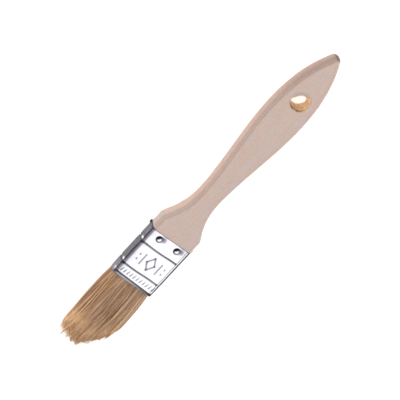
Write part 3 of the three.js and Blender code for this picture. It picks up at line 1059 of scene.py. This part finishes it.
def swayed(outside, strand, generator):
    """How far each hair wanders across and through the brush, in gentle waves, and their phases."""
    drift = generator.normal(0, 0.55, (STRANDS, 2))[strand] + generator.normal(0, 0.3, (HAIRS, 2))
    phase = generator.uniform(0, 2 * math.pi, (STRANDS, 2))[strand]
    turns = generator.uniform(4, 9, STRANDS)[strand]
    angle = outside * turns[:, None]
    wave, rise = (0.16 * (np.sin(angle + own[:, None]) - np.sin(own[:, None])) for own in phase.T)
    spread = outside ** 0.8
    return drift[:, :1] * spread + wave, drift[:, 1:] * 0.5 * spread + rise, phase[:, 0]


def kept_in_outline(x, y, z):
    """The hairs stay inside the ferrule's lip, and close to the tuft's outline past it."""
    return [np.where(x < LIP_ENDS_MM, np.clip(places, *in_lip), np.clip(places, *past_lip))
            for places, in_lip, past_lip in zip((y, z), IN_LIP_MM, PAST_LIP_MM)]


def strand_tones(across, strand, strand_y, strand_z, generator):
    """How dark or pale each hair's strand is, and which hairs are coarse."""
    streaks = np.sin(strand_y * 66 + 4 * strand_z)
    tone = 0.2 * streaks + generator.normal(-0.06, 0.12, STRANDS)[strand]
    odd_one = generator.random(STRANDS)[strand]
    tone = np.where(odd_one < 0.09, -0.9, np.where(odd_one > 0.94, 0.4, tone))
    tone = tone * (1 - 0.5 * ease(-0.3, -0.8, across))
    coarse = generator.random(HAIRS) < 0.2
    tone = tone + np.where(coarse, generator.normal(-0.06, 0.4, HAIRS), 0)
    return tone, coarse


def hair_colours(across, strand_tone, strand_phase, generator, x, end):
    """One colour per ring of each hair: darker and paler browns, then orange and blond at the ends."""
    tone = (strand_tone + generator.normal(0, 0.36, HAIRS))[:, None]
    tone = np.clip(tone + 0.22 * np.sin(0.3 * x + strand_phase[:, None]), -1, 1)[:, :, None]
    loose = ease(-0.35, -0.9, across)
    brown = between(BROWN, ORANGE, 0.3 * loose[:, None])[:, None, :]
    body = np.where(tone < 0, between(brown, DARK, -tone), between(brown, PALE, tone))
    greyed = (generator.random(HAIRS) < 0.12) * ease(-0.9, -0.3, across) * 0.6
    body = between(body, GREY, greyed[:, None, None])
    lit_edge = 0.42 * ease(0.3, 1.0, across) + 0.1 * ease(-0.85, -1.0, across)
    body = between(body, PALE, lit_edge[:, None, None])
    near_end = ease(22, 43, x) * 0.5 + 0.55 * ease(10, 0, end[:, None] - x)
    near_end = near_end * (1 + 0.9 * ease(0.0, -0.8, across))[:, None]
    tip = near_end[:, :, None] * generator.uniform(0.6, 1.0, HAIRS)[:, None, None]
    tip = np.clip(tip, 0, 1)
    colours = between(between(body, ORANGE, 0.5 * tip), BLOND, 0.9 * tip)
    # Painted shadow on the hairs inside the ferrule and just past its mouth.
    root_shade = 0.45 + 0.55 * ease(-1.0, 2.0, x)
    colours = colours * root_shade[:, :, None]
    return np.concatenate([colours, np.ones((HAIRS, RINGS, 1))], axis=2)


def bristle_paths(facing, seed):
    """The centre line of every hair in one row, as (hair, ring, xyz), with thicknesses and colours."""
    generator = np.random.default_rng(seed)
    across, through = section_places(HAIRS, generator)
    outer = generator.random(HAIRS) < 0.6
    through = np.where(outer, 1 - 0.35 * (1 - through), through)
    strand, strand_y, strand_z = nearest_strand(across, through, generator)
    point_y, extra = nearest_point(across)
    loose_side = 1 - 0.9 * ease(-0.1, 0.6, across)
    end = hair_ends(across, strand, point_y, extra, loose_side, generator)

    x = ring_places(end)
    outside = np.clip(x / LONGEST_MM, 0, 1)
    half_width, middle, half_thickness = (
        np.interp(x, STATIONS_MM, sizes) for sizes in (HALF_WIDTHS_MM, MIDDLES_MM, HALF_THICKNESSES_MM))

    strand_pull = 0.6 * outside ** 0.6 + 0.35 * outside ** 5 * loose_side[:, None]
    point_pull = 0.7 * outside ** 5 * loose_side[:, None]
    y_share = drawn_in(across, strand_y, point_y, strand_pull, point_pull)
    z_share = drawn_in(through, strand_z, np.full(HAIRS, POINT_DEPTH), strand_pull, point_pull)
    before_mouth = 1 - ease(-3.2, 3.0, x)
    z_share = between(z_share, between(DIVIDER_CLEAR, 1, z_share), before_mouth)
    end_layer = np.random.default_rng(seed + 1).uniform(0, 1, STRANDS)[strand]
    z_share = between(z_share, end_layer[:, None], 0.7 * outside ** 4)

    y_sway, z_sway, phase = swayed(outside, strand, generator)
    y = middle + y_share * half_width + y_sway * (1 - 0.6 * y_share ** 4)
    y, z = kept_in_outline(x, y, z_share * half_thickness + z_sway)
    paths = np.stack([MOUTH_X + x * MM, y * MM, MID_Z + facing * z * MM], axis=-1)

    tone, coarse = strand_tones(across, strand, strand_y, strand_z, generator)
    colours = hair_colours(across, tone, phase, generator, x, end)
    root_radius = generator.uniform(*HAIR_RADII_MM, HAIRS) * np.where(coarse, COARSE, 1.0) * MM
    thickness = root_radius[:, None] * (1 - 0.6 * ease(8, 0, end[:, None] - x))
    return paths, thickness, colours, generator


def hair_faces():
    """Each hair is a tube, closed at its end; its root is hidden in the ferrule."""
    first = np.arange(HAIRS)[:, None, None] * RINGS * HAIR_SIDES
    side = np.arange(HAIR_SIDES)[None, None, :]
    after = (side + 1) % HAIR_SIDES
    here = first + np.arange(RINGS - 1)[None, :, None] * HAIR_SIDES
    beyond = here + HAIR_SIDES
    quads = np.stack([here + side, here + after, beyond + after, beyond + side], axis=-1)
    ends = first[:, 0] + (RINGS - 1) * HAIR_SIDES + np.arange(HAIR_SIDES)
    return quads.reshape(-1, 4).tolist() + ends.tolist()


def bristle_row(name, facing, seed, row_node):
    paths, thickness, colours, generator = bristle_paths(facing, seed)
    spin = generator.uniform(0, 2 * math.pi, HAIRS)
    corners = spin[:, None] + np.arange(HAIR_SIDES) * 2 * math.pi / HAIR_SIDES
    around = np.stack([np.zeros_like(corners), np.cos(corners), np.sin(corners)], axis=-1)
    tubes = paths[:, :, None, :] + thickness[:, :, None, None] * around[:, None, :, :]
    mesh = mesh_from(name, tubes.reshape(-1, 3), hair_faces())
    store_colour(mesh, "hair", np.repeat(colours.reshape(-1, 4), HAIR_SIDES, axis=0))
    shade_smooth(mesh)
    piece = link(name, mesh)
    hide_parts("bristle_tuft", row_node)
    return piece


def bristles():
    material = hog_bristle()
    rows = (
        ("bristles_front", 1, FRONT_SEED, "bristle_row_front"),
        ("bristles_back", -1, BACK_SEED, "bristle_row_back"),
    )
    for name, facing, seed, row_node in rows:
        piece = bristle_row(name, facing, seed, row_node)
        dress(piece, material)
        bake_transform(piece)


# ---------------- studio

# The view: from above the handle's -Y side, as angles from +X and from the floor.
CAMERA_AZIMUTH = math.radians(-128.22)
CAMERA_ELEVATION = math.radians(61.28)
CAMERA_ROLL = math.radians(167.36)
CAMERA_DISTANCE = 2.0
CAMERA_AIM = Vector((0.84 * MM, -2.17 * MM, 5.03 * MM))
LENS_MM = 355
SENSOR_MM = 36
CAMERA_DIRECTION = Vector((
    math.cos(CAMERA_ELEVATION) * math.cos(CAMERA_AZIMUTH),
    math.cos(CAMERA_ELEVATION) * math.sin(CAMERA_AZIMUTH),
    math.sin(CAMERA_ELEVATION),
))

FLOOR_HALF = 40.0  # metres, so that its edge is at the horizon
DARK_WALL = (0.04, 0.04, 0.045, 1)

# The surroundings from the horizon up, as (height of the direction, colour).
SURROUNDINGS = (
    (0.07, (0.75, 0.75, 0.76, 1)), (0.12, DARK_WALL), (0.25, DARK_WALL), (0.8, (0.6, 0.6, 0.61, 1)))


def floor():
    """A white floor with a faint glow of its own, so that only a soft shadow shows on it."""
    half = FLOOR_HALF
    corners = [(-half, -half, 0), (half, -half, 0), (half, half, 0), (-half, half, 0)]
    piece = link("floor", mesh_from("floor", corners, [(0, 1, 2, 3)]))
    nodes = Nodes("pale_floor")
    nodes.surface("Base Color", WHITE)
    nodes.surface("Emission Color", WHITE)
    nodes.surface("Emission Strength", 0.24)
    nodes.surface("Roughness", 0.9)
    nodes.surface("Specular IOR Level", 0.1)
    dress(piece, nodes.material)


def surroundings():
    """A pale horizon, dark walls above it and a pale ceiling."""
    world = bpy.data.worlds.new("studio")
    SCENE.world = world
    world.use_nodes = True
    tree = world.node_tree
    direction = tree.nodes.new("ShaderNodeTexCoord")
    split = tree.nodes.new("ShaderNodeSeparateXYZ")
    walls = tree.nodes.new("ShaderNodeValToRGB")
    set_stops(walls, SURROUNDINGS)
    tree.links.new(direction.outputs["Generated"], split.inputs["Vector"])
    tree.links.new(split.outputs["Z"], walls.inputs["Fac"])
    tree.links.new(walls.outputs["Color"], tree.nodes["Background"].inputs["Color"])


def soft_light(name, direction, distance, size, watts, in_reflections=True, on_surfaces=True):
    """A square panel that faces the brush; it can be kept out of reflections, or be only in them."""
    light = bpy.data.lights.new(name, "AREA")
    light.shape = "SQUARE"
    light.size = size
    light.energy = watts
    lamp = bpy.data.objects.new(name, light)
    SCENE.collection.objects.link(lamp)
    from_brush = Vector(direction).normalized()
    lamp.location = from_brush * distance
    lamp.rotation_euler = from_brush.to_track_quat("Z", "Y").to_euler()
    lamp.visible_glossy = in_reflections
    lamp.visible_diffuse = on_surfaces


def studio():
    """Two panels that light and reflect, two boards for the metal's far sides, and two soft lights."""
    surroundings()
    soft_light("overhead", (0.3, 0.38, 0.87), 1.5, 1.5, 5.6)
    soft_light("wall", (0.25, 0.93, 0.27), 1.6, 1.2, 4.0)
    soft_light("board_behind", (-0.64, 0.64, 0.42), 1.6, 1.3, 3.6, on_surfaces=False)
    soft_light("board_before", (0.68, -0.68, 0.26), 1.6, 1.0, 2.2, on_surfaces=False)
    soft_light("key", CAMERA_DIRECTION, 2.4, 0.4, 28, in_reflections=False)
    soft_light("low_fill", (-0.15, -0.95, 0.3), 1.6, 1.2, 13.5, in_reflections=False)
    SCENE.view_settings.view_transform = "Standard"


def camera():
    """A long lens from above the handle, rolled so that the handle points up and to the right."""
    up = (Vector((0, 0, 1)) - CAMERA_DIRECTION * CAMERA_DIRECTION.z).normalized()
    right = up.cross(CAMERA_DIRECTION)
    upright = Matrix((right, up, CAMERA_DIRECTION)).transposed()
    turned = (upright @ Matrix.Rotation(CAMERA_ROLL, 3, "Z")).to_4x4()
    data = bpy.data.cameras.new("camera")
    data.lens = LENS_MM
    data.sensor_width = SENSOR_MM
    eye = bpy.data.objects.new("camera", data)
    SCENE.collection.objects.link(eye)
    eye.matrix_world = Matrix.Translation(CAMERA_AIM + CAMERA_DIRECTION * CAMERA_DISTANCE) @ turned
    SCENE.camera = eye


camera()
studio()
floor()
wood_handle()
ferrule()
nails()
bristles()
dress(NODES["setting"], set_resin())
dress(NODES["divider"], plug_wood())
